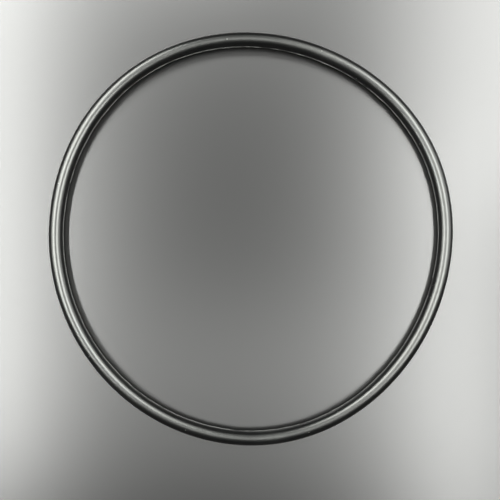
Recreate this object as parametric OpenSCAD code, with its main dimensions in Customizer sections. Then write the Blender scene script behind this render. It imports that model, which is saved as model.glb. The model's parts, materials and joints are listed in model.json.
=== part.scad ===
// Rubber o-ring: a round rubber cord, moulded in one piece as an endless ring.
// Millimetres, +Z up. The ring lies flat on z = 0, with the middle of its hole at the origin.
//
// It is drawn relaxed, as a soft ring lies when nothing holds it round: a little oval, with
// a few faint corners. Its middle line is a chain of arcs, each tangent to the next, that
// closes on itself and is as long as the middle line of the round ring it was moulded as.

/* [Moulded ring] */
// Inside diameter of the cord, with the ring held round
inside_d = 94.84; // [60:0.01:180]
// Diameter of the cord's round section
section_d = 3.53; // [1.78:0.01:7]

/* [Trimmed flash, where the halves of the mould met] */
// Thickness of the flash
flash_t = 0.16; // [0.06:0.01:0.4]
// How far the flash stands out of the cord round the inside of the ring
inner_flash = 0.08; // [0.02:0.01:0.2]
// How far the flash stands out of the cord round the outside of the ring
outer_flash = 0.04; // [0.02:0.01:0.2]

/* [Relaxed shape] */
// Oval: how far each end of the long axis stands out from the round ring
oval = 0.58; // [0:0.01:1.2]
// Direction of the long axis, anticlockwise from +X
oval_dir = 93.5; // [0:0.5:180]
// Three corners: how far each one stands out from the round ring
three_corner = 0.4; // [0:0.01:0.8]
// Direction of one of the three corners
three_corner_dir = 21.5; // [0:0.5:120]
// Four corners: how far each one stands out from the round ring
four_corner = 0.19; // [0:0.01:0.4]
// Direction of one of the four corners
four_corner_dir = 25; // [0:0.5:90]

/* [Hidden] */
$fn = 96;

section_r = section_d / 2;
round_r = (inside_d + section_d) / 2; // from the axis to the middle of the cord, held round
arcs = 24;
turn = 360 / arcs; // every arc turns by the same whole number of degrees
place_step = 0.01;

// Each wave: its number of corners, how far a corner stands out, the direction of one corner
waves = [
    [2, oval, oval_dir],
    [3, three_corner, three_corner_dir],
    [4, four_corner, four_corner_dir]
];

function total(values) = values * [for (v = values) 1];
function outwards(direction) = [cos(direction), sin(direction)];
function start_dir(i) = turn * i;

// Where the cord faces +X: how far its middle line stands out from the round ring there,
// and how far it lies to the side of the X axis
chain_start = [
    total([for (w = waves) w[1] * cos(w[0] * w[2])]),
    total([for (w = waves) w[0] * w[1] * sin(w[0] * w[2])])
];

// How much larger the radius of arc i is than the round ring's, from the waves at its middle.
// A wave of n corners makes the radius at a corner n * n - 1 times as much smaller as the
// corner stands out, and that much larger half way between two corners.
function slack(i) =
    total([for (w = waves)
        (1 - w[0] * w[0]) * w[1] * cos(w[0] * (start_dir(i + 0.5) - w[2]))]);

// Centre of arc i, on the line along which it starts, where arc i - 1 ends
function arc_centre(i) =
    i == 0 ? chain_start - slack(0) * outwards(0)
    : arc_centre(i - 1) + (slack(i - 1) - slack(i)) * outwards(start_dir(i));

// Section of the cord about its middle, with the inside of the ring towards -X
module section() {
    circle(r = section_r);
    translate([-section_r - inner_flash, -flash_t / 2])
        square([inner_flash + section_d + outer_flash, flash_t]);
}

// Moves by whole steps of place_step and then by the little that is left, which keeps more
// decimals, because the ends of two arcs have to meet without a gap
module place(move) {
    whole = [for (m = move) place_step * round(m / place_step)];
    translate(whole)
        translate(move - whole)
            children();
}

// One arc of the cord, where it belongs in the chain
module arc(i) {
    place(arc_centre(i))
        rotate_extrude(angle = turn, start = start_dir(i))
            place([round_r + slack(i), 0])
                section();
}

module o_ring() {
    color([0.07, 0.07, 0.07])
        translate([0, 0, section_r])
            for (i = [0 : arcs - 1])
                arc(i);
}

o_ring();
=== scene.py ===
"""The look of one rubber o-ring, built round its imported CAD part. Metres, +Z up, the part's own frame."""

import json
import logging
import math
from dataclasses import dataclass, field
from enum import Enum

import bmesh
import bpy
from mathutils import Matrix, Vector, noise


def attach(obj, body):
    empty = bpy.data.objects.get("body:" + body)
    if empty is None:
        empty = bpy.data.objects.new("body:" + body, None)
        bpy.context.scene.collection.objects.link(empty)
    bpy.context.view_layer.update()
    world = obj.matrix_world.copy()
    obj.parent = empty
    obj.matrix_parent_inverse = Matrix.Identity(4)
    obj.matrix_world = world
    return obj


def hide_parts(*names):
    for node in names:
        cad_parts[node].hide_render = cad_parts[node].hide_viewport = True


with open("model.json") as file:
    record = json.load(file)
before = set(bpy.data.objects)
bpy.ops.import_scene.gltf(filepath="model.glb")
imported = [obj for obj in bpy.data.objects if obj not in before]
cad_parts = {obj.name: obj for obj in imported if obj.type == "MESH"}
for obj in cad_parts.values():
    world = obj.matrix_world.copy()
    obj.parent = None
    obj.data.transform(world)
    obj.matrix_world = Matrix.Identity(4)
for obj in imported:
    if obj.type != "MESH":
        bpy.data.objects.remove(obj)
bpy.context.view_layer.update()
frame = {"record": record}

MM = 0.001
STRIP_MAP = "OFBake"
END_MARGIN = 0.02
SIDE_MARGIN = 0.03
CLOUD_ROUGHNESS = 0.55
SHEEN_TINT = (0.975, 1.0, 0.94)
log = logging.getLogger("o_ring")


# ---------------------------------------------------------------- shader nodes


class Wire:
    """One output of a material's nodes. Arithmetic on it adds Math nodes."""

    def __init__(self, sheet: "NodeSheet", socket: bpy.types.NodeSocket) -> None:
        """Wraps a socket.

        Args:
            sheet: the node sheet that the socket is on.
            socket: the output socket.
        """
        self.sheet = sheet
        self.socket = socket

    def _math(self, operation: str, first: object, second: object) -> "Wire":
        """Adds one Math node.

        Args:
            operation: the Math node's operation.
            first: its first value, a number or a Wire.
            second: its second value, a number or a Wire.

        Returns:
            The node's result.
        """
        return self.sheet.node("ShaderNodeMath", {"operation": operation}, {0: first, 1: second})

    def __add__(self, other: object) -> "Wire":
        """Self plus other."""
        return self._math("ADD", self, other)

    def __radd__(self, other: object) -> "Wire":
        """Other plus self."""
        return self._math("ADD", other, self)

    def __sub__(self, other: object) -> "Wire":
        """Self minus other."""
        return self._math("SUBTRACT", self, other)

    def __rsub__(self, other: object) -> "Wire":
        """Other minus self."""
        return self._math("SUBTRACT", other, self)

    def __mul__(self, other: object) -> "Wire":
        """Self times other."""
        return self._math("MULTIPLY", self, other)

    def __rmul__(self, other: object) -> "Wire":
        """Other times self."""
        return self._math("MULTIPLY", other, self)

    def __abs__(self) -> "Wire":
        """Self without its sign."""
        return self._math("ABSOLUTE", self, 0.0)

    def step(self, low: float, high: float) -> "Wire":
        """A smooth step of the value.

        Args:
            low: the value at which the step is 0.
            high: the value at which it is 1, above or below low.

        Returns:
            0 to 1.
        """
        settings = {"interpolation_type": "SMOOTHSTEP", "clamp": True}
        rising = high > low
        inputs = {
            "Value": self,
            "From Min": low if rising else high,
            "From Max": high if rising else low,
            "To Min": 0.0 if rising else 1.0,
            "To Max": 1.0 if rising else 0.0,
        }
        return self.sheet.node("ShaderNodeMapRange", settings, inputs)


class NodeSheet:
    """The nodes of one material, with its Principled shader."""

    def __init__(self, name: str) -> None:
        """Starts a new material.

        Args:
            name: the material's name.
        """
        self.material = bpy.data.materials.new(name)
        self.material.use_nodes = True
        self.tree = self.material.node_tree
        self.shader = next(n for n in self.tree.nodes if n.type == "BSDF_PRINCIPLED")

    def node(
        self,
        kind: str,
        settings: dict[str, object],
        inputs: dict[str | int, object],
        output: str | int = 0,
    ) -> Wire:
        """Adds any node.

        Args:
            kind: the node's type.
            settings: its properties, set before its sockets.
            inputs: the value or the Wire for each of its input sockets.
            output: which of its outputs is wanted.

        Returns:
            That output.
        """
        made = self.tree.nodes.new(kind)
        for key, value in settings.items():
            setattr(made, key, value)
        for key, value in inputs.items():
            self.feed(made.inputs[key], value)
        return Wire(self, made.outputs[output])

    def feed(self, socket: bpy.types.NodeSocket, value: object) -> None:
        """Gives an input socket its link or its value.

        Args:
            socket: the input socket.
            value: a Wire, a number, or the numbers of a colour or vector.
        """
        if isinstance(value, Wire):
            self.tree.links.new(value.socket, socket)
        else:
            socket.default_value = value

    def mix(self, share: Wire, first: object, second: object) -> Wire:
        """Mixes two colours.

        Args:
            share: how much of the second colour shows, 0 to 1.
            first: a colour or a Wire.
            second: a colour or a Wire.

        Returns:
            The mixed colour.
        """
        made = self.tree.nodes.new("ShaderNodeMix")
        made.data_type = "RGBA"
        sockets = [s for s in made.inputs if s.enabled]
        for socket, value in zip(sockets, (share, first, second)):
            self.feed(socket, value)
        return Wire(self, next(s for s in made.outputs if s.enabled))

    def noise(self, where: Wire, grain: float, detail: float = 2.0) -> Wire:
        """Cloudy noise of a given grain.

        Args:
            where: the coordinates.
            grain: the size of one cloud, in metres.
            detail: how many finer layers it has.

        Returns:
            The noise, about 0 to 1 round 0.5.
        """
        inputs = {"Vector": where, "Scale": 1 / grain, "Detail": detail, "Roughness": CLOUD_ROUGHNESS}
        return self.node("ShaderNodeTexNoise", {"noise_dimensions": "3D"}, inputs, "Fac")

    def show(self, surface: Wire) -> None:
        """Lets another shader stand in for the Principled one."""
        end = next(n for n in self.tree.nodes if n.type == "OUTPUT_MATERIAL")
        self.tree.links.new(surface.socket, end.inputs["Surface"])
        self.tree.nodes.remove(self.shader)

    def set(self, **values: object) -> None:
        """Sets sockets of the shader, named with _ for each space."""
        for key, value in values.items():
            self.feed(self.shader.inputs[key.replace("_", " ")], value)


# -------------------------------------------------------------------- finishes


@dataclass(frozen=True)
class MouldedRubber:
    """Black rubber with the satin skin of its mould, a faint bloom, and a few specks of dust."""

    colour: tuple[float, ...] = (0.020, 0.020, 0.021, 1.0)
    bloom_colour: tuple[float, ...] = (0.038, 0.038, 0.039, 1.0)
    torn_colour: tuple[float, ...] = (0.050, 0.050, 0.049, 1.0)
    dust_colour: tuple[float, ...] = (0.55, 0.54, 0.51, 1.0)
    roughness: float = 0.285
    peel_grain: float = 0.50 * MM
    peel_depth: float = 0.0090 * MM
    mottle_grain: float = 1.7 * MM
    bloom_grain: float = 13.0 * MM
    dust_apart: float = 2.4 * MM
    dust_size: float = 0.15 * MM
    bloom_floor: float = 0.35
    mottle_rough: float = 0.05
    bloom_rough: float = 0.03
    torn_rough: float = 0.18
    dust_rough: float = 0.35
    mottle_height: float = 0.3
    dust_height: float = 1.5
    bloom_edge: tuple[float, float] = (0.52, 0.72)
    torn_edge: tuple[float, float] = (0.55, 0.40)
    speck_edge: tuple[float, float] = (1.0, 0.35)

    def make(self, part_line: float, flash_t: float) -> bpy.types.Material:
        """Makes the material.

        Args:
            part_line: height of the line where the halves of the mould met.
            flash_t: thickness of the flash that stands there.

        Returns:
            The material.
        """
        sheet = NodeSheet("moulded_rubber")
        where = sheet.node("ShaderNodeTexCoord", {}, {}, "Object")
        peel = sheet.noise(where, self.peel_grain)
        mottle = sheet.noise(where, self.mottle_grain, 3.0)
        bloom = sheet.noise(where, self.bloom_grain, 4.0).step(*self.bloom_edge)
        dust = self._dust(sheet, where)
        torn = self._torn(sheet, where, part_line, flash_t)

        patchy = self.bloom_floor + (1 - self.bloom_floor) * mottle
        skin = sheet.mix(bloom * patchy, self.colour, self.bloom_colour)
        edged = sheet.mix(torn, skin, self.torn_colour)
        rough = self.roughness + self.mottle_rough * (mottle - 0.5) + self.bloom_rough * bloom
        rough = rough + self.torn_rough * torn + self.dust_rough * dust
        height = peel + self.mottle_height * mottle + self.dust_height * dust
        bump = sheet.node(
            "ShaderNodeBump", {}, {"Height": height, "Strength": 1.0, "Distance": self.peel_depth}
        )
        sheet.set(
            Base_Color=sheet.mix(dust, edged, self.dust_colour),
            Roughness=rough,
            Normal=bump,
            IOR=1.5,
        )
        return sheet.material

    def _dust(self, sheet: NodeSheet, where: Wire) -> Wire:
        """Sparse specks of dust.

        Args:
            sheet: the material's nodes.
            where: the coordinates.

        Returns:
            1 on a speck and 0 off it.
        """
        inputs = {"Vector": where, "Scale": 1 / self.dust_apart, "Randomness": 1.0}
        settings = {"voronoi_dimensions": "3D", "feature": "F1"}
        apart = sheet.node("ShaderNodeTexVoronoi", settings, inputs, "Distance")
        size = self.dust_size / self.dust_apart
        outer, inner = self.speck_edge
        return apart.step(outer * size, inner * size)

    def _torn(self, sheet: NodeSheet, where: Wire, part_line: float, flash_t: float) -> Wire:
        """The strip of the section where the flash was torn off.

        Args:
            sheet: the material's nodes.
            where: the coordinates.
            part_line: height of the middle of the strip.
            flash_t: its width.

        Returns:
            1 on the strip and 0 off it.
        """
        height = sheet.node("ShaderNodeSeparateXYZ", {}, {"Vector": where}, "Z")
        outer, inner = self.torn_edge
        return abs(height - part_line).step(outer * flash_t, inner * flash_t)


@dataclass(frozen=True)
class PlainTable:
    """A plain table top with an even satin sheen, which the strong lights on it turn pale."""

    sheen: tuple[float, ...] = (0.0598, 0.0602, 0.0585, 1.0)
    roughness: float = 0.314

    def make(self) -> bpy.types.Material:
        """Makes the material."""
        sheet = NodeSheet("plain_table")
        inputs = {"Color": self.sheen, "Roughness": self.roughness}
        gloss = sheet.node("ShaderNodeBsdfAnisotropic", {"distribution": "GGX"}, inputs)
        sheet.show(gloss)
        return sheet.material


# -------------------------------------------------------------------- the ring


@dataclass(frozen=True)
class Wave:
    """One even out-of-roundness of the ring as it lies relaxed."""

    corners: int
    stand_out: float
    direction: float


@dataclass(frozen=True)
class Arc:
    """One arc of the cord's middle line."""

    centre: Vector
    radius: float


@dataclass(frozen=True)
class RelaxedLine:
    """The middle line of the cord: a closed chain of arcs, each tangent to the next."""

    round_r: float
    waves: tuple[Wave, ...] = (
        Wave(2, 0.58 * MM, 93.5),
        Wave(3, 0.40 * MM, 21.5),
        Wave(4, 0.19 * MM, 25.0),
    )
    arcs: int = 24

    @property
    def turn(self) -> float:
        """The angle of every arc, in degrees."""
        return 360 / self.arcs

    def slack(self, i: int) -> float:
        """How much larger the radius of one arc is than the round ring's.

        Args:
            i: the arc.

        Returns:
            The difference, in metres.
        """
        at = self.turn * (i + 0.5)
        return sum(
            (1 - w.corners**2) * w.stand_out * math.cos(math.radians(w.corners * (at - w.direction)))
            for w in self.waves
        )

    def chain(self) -> list[Arc]:
        """Lays the arcs out one after the other.

        Returns:
            The arcs, anticlockwise from where the cord faces +X.
        """
        out = sum(w.stand_out * math.cos(math.radians(w.corners * w.direction)) for w in self.waves)
        side = sum(
            w.corners * w.stand_out * math.sin(math.radians(w.corners * w.direction)) for w in self.waves
        )
        centre = Vector((out - self.slack(0), side, 0.0))
        made = [Arc(centre, self.round_r + self.slack(0))]
        for i in range(1, self.arcs):
            way = math.radians(self.turn * i)
            step = self.slack(i - 1) - self.slack(i)
            centre = centre + step * Vector((math.cos(way), math.sin(way), 0.0))
            made.append(Arc(centre, self.round_r + self.slack(i)))
        return made


class Side(Enum):
    """The two sides of the ring on which the flash stands."""

    INNER = -1
    OUTER = 1


@dataclass
class Ring:
    """The endless rubber cord with the flash left along its mould line."""

    section_r: float
    line: RelaxedLine
    rubber: MouldedRubber = field(default_factory=MouldedRubber)
    inner_flash: float = 0.08 * MM
    outer_flash: float = 0.04 * MM
    flash_t: float = 0.16 * MM
    taper: float = 0.7
    deepest_tear: float = 0.9
    level_share: float = 0.1
    tears: tuple[tuple[float, float], ...] = ((7.0 * MM, 0.9), (2.1 * MM, 0.9), (0.9 * MM, 0.9))
    section_sides: int = 70  # even but not a multiple of 4, so that a side faces the mould line
    steps: int = 30
    strips: int = 6
    crease: float = 40.0
    merge: float = 0.01 * MM

    def build(self) -> bpy.types.Object:
        """Models and dresses the ring.

        Returns:
            The finished piece.
        """
        ring = self._sweep()
        for side, stand_out in ((Side.INNER, self.inner_flash), (Side.OUTER, self.outer_flash)):
            self._raise_flash(ring, side, stand_out)
        self._finish_mesh(ring)
        self._lay_out(ring)
        ring.data.materials.append(self.rubber.make(self.section_r, self.flash_t))
        return ring

    def _sweep(self) -> bpy.types.Object:
        """Spins the round section along the chain of arcs.

        Returns:
            The closed cord, still without flash.
        """
        chain = self.line.chain()
        start = chain[0].centre + Vector((chain[0].radius, 0.0, self.section_r))
        bpy.ops.object.select_all(action="DESELECT")
        bpy.ops.mesh.primitive_circle_add(
            vertices=self.section_sides,
            radius=self.section_r,
            fill_type="NOTHING",
            location=start,
            rotation=(math.radians(90), 0.0, 0.0),
        )
        ring = bpy.context.object
        ring.name = "rubber_ring"
        bpy.ops.object.transform_apply(location=True, rotation=True, scale=True)
        bpy.ops.object.mode_set(mode="EDIT")
        bpy.ops.mesh.select_all(action="SELECT")
        for arc in chain:
            bpy.ops.mesh.spin(
                steps=self.steps,
                angle=math.radians(-self.line.turn),
                center=(arc.centre.x, arc.centre.y, self.section_r),
                axis=(0.0, 0.0, 1.0),
            )
        bpy.ops.mesh.select_all(action="SELECT")
        bpy.ops.mesh.remove_doubles(threshold=self.merge)
        bpy.ops.mesh.normals_make_consistent(inside=False)
        bpy.ops.object.mode_set(mode="OBJECT")
        return ring

    def _raise_flash(self, ring: bpy.types.Object, side: Side, stand_out: float) -> None:
        """Draws the flash out of the band of faces at the mould line, and frays it.

        Args:
            ring: the cord.
            side: the side of the ring to work on.
            stand_out: how far the flash stands out of the cord.
        """
        bpy.ops.object.mode_set(mode="EDIT")
        bpy.ops.mesh.select_mode(type="FACE")
        bpy.ops.mesh.select_all(action="DESELECT")
        mesh = bmesh.from_edit_mesh(ring.data)
        for face in mesh.faces:
            middle = face.calc_center_median()
            facing = face.normal.x * middle.x + face.normal.y * middle.y
            level = abs(middle.z - self.section_r) < self.level_share * self.flash_t
            face.select = level and facing * side.value > 0
        bmesh.update_edit_mesh(ring.data)
        bpy.ops.mesh.extrude_region_shrink_fatten(TRANSFORM_OT_shrink_fatten={"value": stand_out})
        bpy.ops.transform.resize(
            value=(1.0, 1.0, self.taper), center_override=(0.0, 0.0, self.section_r)
        )
        bpy.ops.object.mode_set(mode="OBJECT")
        self._fray(ring, side, stand_out)

    def _fray(self, ring: bpy.types.Object, side: Side, stand_out: float) -> None:
        """Makes the edge of the flash uneven, as tearing leaves it.

        Args:
            ring: the cord, with the flash's edge selected.
            side: the side of the ring to work on.
            stand_out: how far the flash stands out of the cord.
        """
        for corner in ring.data.vertices:
            if not corner.select:
                continue
            flat = Vector((corner.co.x, corner.co.y, 0.0))
            uneven = sum(share * noise.noise(flat / grain) for grain, share in self.tears)
            uneven = min(max(uneven, -self.deepest_tear), self.deepest_tear)
            corner.co += flat.normalized() * side.value * stand_out * uneven

    def _finish_mesh(self, ring: bpy.types.Object) -> None:
        """Turns the faces outward and smooths the skin, but not the edges of the flash.

        Args:
            ring: the cord with its flash.
        """
        bpy.ops.object.mode_set(mode="EDIT")
        bpy.ops.mesh.select_all(action="SELECT")
        bpy.ops.mesh.normals_make_consistent(inside=False)
        bpy.ops.mesh.select_all(action="DESELECT")
        bpy.ops.object.mode_set(mode="OBJECT")
        bpy.ops.object.shade_smooth_by_angle(angle=math.radians(self.crease))

    def _lay_out(self, ring: bpy.types.Object) -> None:
        """Lays the skin out flat, as straight strips one above the other with the seam underneath.

        Args:
            ring: the finished ring.
        """
        chain = self.line.chain()
        layer = ring.data.uv_layers.new(name=STRIP_MAP)
        per_strip = self.line.arcs // self.strips
        tall = 1 / self.strips
        wide = tall * per_strip * math.radians(self.line.turn) * self.line.round_r
        wide /= 2 * math.pi * self.section_r
        for face in ring.data.polygons:
            way = math.degrees(math.atan2(face.center.y, face.center.x)) % 360
            at = min(range(self.line.arcs), key=lambda i: self._off_arc(chain[i], i, face.center, way))
            middle = self._on_strip(chain[at], at, face.center)
            strip = at // per_strip
            for corner in face.loop_indices:
                point = ring.data.vertices[ring.data.loops[corner].vertex_index].co
                along, round_ = self._on_strip(chain[at], at, point)
                round_ += round(middle[1] - round_)
                along = (along - strip * per_strip) / per_strip
                layer.uv[corner].vector = (
                    END_MARGIN + along * wide * (1 - 2 * END_MARGIN),
                    (strip + SIDE_MARGIN + round_ * (1 - 2 * SIDE_MARGIN)) * tall,
                )

    def _off_arc(self, arc: Arc, i: int, point: Vector, way: float) -> float:
        """How far a point lies outside the span of an arc.

        Args:
            arc: the arc.
            i: its number.
            point: the point.
            way: the point's direction from the middle of the ring, in degrees.

        Returns:
            0 within the arc, and more the further outside it.
        """
        near = abs((way - self.line.turn * (i + 0.5) + 180) % 360 - 180)
        if near > 2 * self.line.turn:
            return near
        along = self._on_strip(arc, i, point)[0] - i
        return max(0.0, -along, along - 1)

    def _on_strip(self, arc: Arc, i: int, point: Vector) -> tuple[float, float]:
        """Where a point of the skin lies on the laid-out strip.

        Args:
            arc: the arc that it belongs to.
            i: the arc's number.
            point: the point.

        Returns:
            The number of arcs along the ring, and the share of a turn round the section.
        """
        x, y = point.x - arc.centre.x, point.y - arc.centre.y
        start = self.line.turn * i
        turned = (math.degrees(math.atan2(y, x)) - start + 180) % 360 - 180
        round_ = math.atan2(point.z - self.section_r, math.hypot(x, y) - arc.radius)
        return i + turned / self.line.turn, (round_ / (2 * math.pi) + 0.25) % 1.0


# ------------------------------------------------------------------- the stage


class Aim(Enum):
    """What a soft light is for."""

    SHEEN = "sheen"
    TABLE = "table"


@dataclass(frozen=True)
class SoftLight:
    """A rectangular soft light: level, leaning, or upright as a wall that faces the ring."""

    aim: Aim
    name: str
    centre: tuple[float, float, float]
    size: tuple[float, float]
    lean: float
    radiance: float
    turn: float = 0.0
    matt: bool = False

    def place(self, lit: bpy.types.Object) -> None:
        """Hangs the light.

        Args:
            lit: the only object that it lights.
        """
        data = bpy.data.lights.new(f"{self.aim.value}_{self.name}", "AREA")
        data.shape = "RECTANGLE"
        data.size, data.size_y = self.size
        if self.aim is Aim.SHEEN:
            data.color = SHEEN_TINT
        data.energy = self.radiance * math.pi * self.size[0] * self.size[1]
        light = bpy.data.objects.new(data.name, data)
        bpy.context.scene.collection.objects.link(light)
        light.location = self.centre
        light.rotation_euler = (0.0, math.radians(self.lean), math.radians(self.turn))
        light.visible_camera = False
        light.visible_diffuse = self.matt
        only = bpy.data.collections.new(f"{light.name}_on")
        only.objects.link(lit)
        light.light_linking.receiver_collection = only


@dataclass(frozen=True)
class Studio:
    """A plain table, soft lights on every side, a pale backdrop, and a camera straight above."""

    height: float = 155.0 * MM
    focal: float = 44.72
    aside: tuple[float, float] = (-0.03 * MM, -3.18 * MM)
    lights: tuple[SoftLight, ...] = (
        SoftLight(Aim.SHEEN, "left", (-0.272, 0.180, 0.430), (0.225, 0.629), 0.0, 28.1),
        SoftLight(Aim.SHEEN, "left_low", (-0.371, 0.140, 0.250), (0.050, 0.432), -34.4, 19.2),
        SoftLight(Aim.SHEEN, "right", (0.199, 0.069, 0.480), (0.254, 0.432), 45.8, 18.9),
        SoftLight(Aim.SHEEN, "right_wide", (0.574, 0.192, 0.330), (1.043, 0.591), 1.7, 4.8),
        SoftLight(Aim.SHEEN, "above", (-0.198, 0.050, 1.100), (0.099, 0.317), 0.0, 35.6, matt=True),
        SoftLight(Aim.TABLE, "left", (-0.528, 0.313, 1.038), (0.097, 1.600), -11.5, 66.0),
        SoftLight(Aim.TABLE, "right", (0.348, -0.178, 0.850), (0.094, 0.679), 11.5, 39.0),
        SoftLight(Aim.TABLE, "above", (0.059, -0.215, 0.850), (0.557, 0.250), 0.0, 3.7),
        SoftLight(Aim.TABLE, "back_left", (-0.303, 0.900, 0.937), (0.800, 0.294), -28.0, 61.2),
        SoftLight(Aim.TABLE, "back_right", (0.689, 0.757, 1.000), (0.756, 1.194), 22.0, 17.1),
        SoftLight(Aim.TABLE, "wall_east", (2.5, 0.0, 0.8), (1.6, 5.0), 90.0, 2.8),
        SoftLight(Aim.TABLE, "wall_north", (0.0, 2.5, 0.8), (1.6, 5.0), 90.0, 1.6, 90.0),
        SoftLight(Aim.TABLE, "wall_west", (-2.5, 0.0, 0.8), (1.6, 5.0), 90.0, 2.8, 180.0),
        SoftLight(Aim.TABLE, "wall_south", (0.0, -2.5, 0.8), (1.6, 5.0), 90.0, 1.6, 270.0),
    )
    room_light: float = 0.006
    table_size: float = 12.0
    backdrop_reach: float = 5.0
    backdrop_tone: tuple[float, ...] = (0.50, 0.50, 0.495, 1.0)
    sensor: float = 36.0
    nearest: float = 0.01
    furthest: float = 50.0

    def table(self) -> bpy.types.Object:
        """Lays the table top under the ring.

        Returns:
            The table top.
        """
        bpy.ops.object.select_all(action="DESELECT")
        bpy.ops.mesh.primitive_plane_add(size=self.table_size, location=(0.0, 0.0, 0.0))
        top = bpy.context.object
        top.name = "table_top"
        top.data.materials.append(PlainTable().make())
        return top

    def backdrop(self) -> bpy.types.Object:
        """Stands a pale backdrop far round the table, which lights nothing.

        Returns:
            The backdrop.
        """
        bpy.ops.object.select_all(action="DESELECT")
        bpy.ops.mesh.primitive_uv_sphere_add(segments=48, ring_count=24, radius=self.backdrop_reach)
        back = bpy.context.object
        back.name = "backdrop"
        for ray in ("diffuse", "glossy", "transmission", "volume_scatter", "shadow"):
            setattr(back, f"visible_{ray}", False)
        sheet = NodeSheet("pale_backdrop")
        sheet.set(Base_Color=(0.0, 0.0, 0.0, 1.0), Specular_IOR_Level=0.0)
        sheet.set(Emission_Color=self.backdrop_tone, Emission_Strength=1.0)
        back.data.materials.append(sheet.material)
        return back

    def light(self, ring: bpy.types.Object, top: bpy.types.Object) -> None:
        """Hangs the lights, each for the ring's sheen or for the table alone.

        Args:
            ring: the ring.
            top: the table top.
        """
        for soft in self.lights:
            soft.place(ring if soft.aim is Aim.SHEEN else top)
        world = bpy.data.worlds.new("studio")
        world.use_nodes = True
        back = next(n for n in world.node_tree.nodes if n.type == "BACKGROUND")
        back.inputs["Color"].default_value = (1.0, 1.0, 1.0, 1.0)
        back.inputs["Strength"].default_value = self.room_light
        bpy.context.scene.world = world

    def camera(self, line_height: float) -> None:
        """Sets the camera straight above the ring.

        Args:
            line_height: height of the cord's middle line above the table.
        """
        data = bpy.data.cameras.new("camera")
        data.lens = self.focal
        data.sensor_width = self.sensor
        data.clip_start = self.nearest
        data.clip_end = self.furthest
        camera = bpy.data.objects.new("camera", data)
        bpy.context.scene.collection.objects.link(camera)
        camera.location = (*self.aside, line_height + self.height)
        bpy.context.scene.camera = camera
        bpy.context.scene.view_settings.view_transform = "Standard"


def main() -> None:
    """Builds the ring and its stage."""
    logging.basicConfig(level=logging.INFO, format="%(message)s")
    seal = next(m for m in frame["record"]["mounts"] if m["name"] == "inside_seal")["dims"]
    section_r = seal["length_mm"] / 2 * MM
    line = RelaxedLine(seal["r_mm"] * MM + section_r)
    ring = Ring(section_r, line).build()
    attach(ring, "root")
    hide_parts("o_ring")
    log.info("%s: %d faces", ring.name, len(ring.data.polygons))

    studio = Studio()
    top = studio.table()
    studio.backdrop()
    studio.light(ring, top)
    studio.camera(section_r)
    log.info("stage: %s and %d lights", top.name, len(studio.lights))


if __name__ == "__main__":
    main()
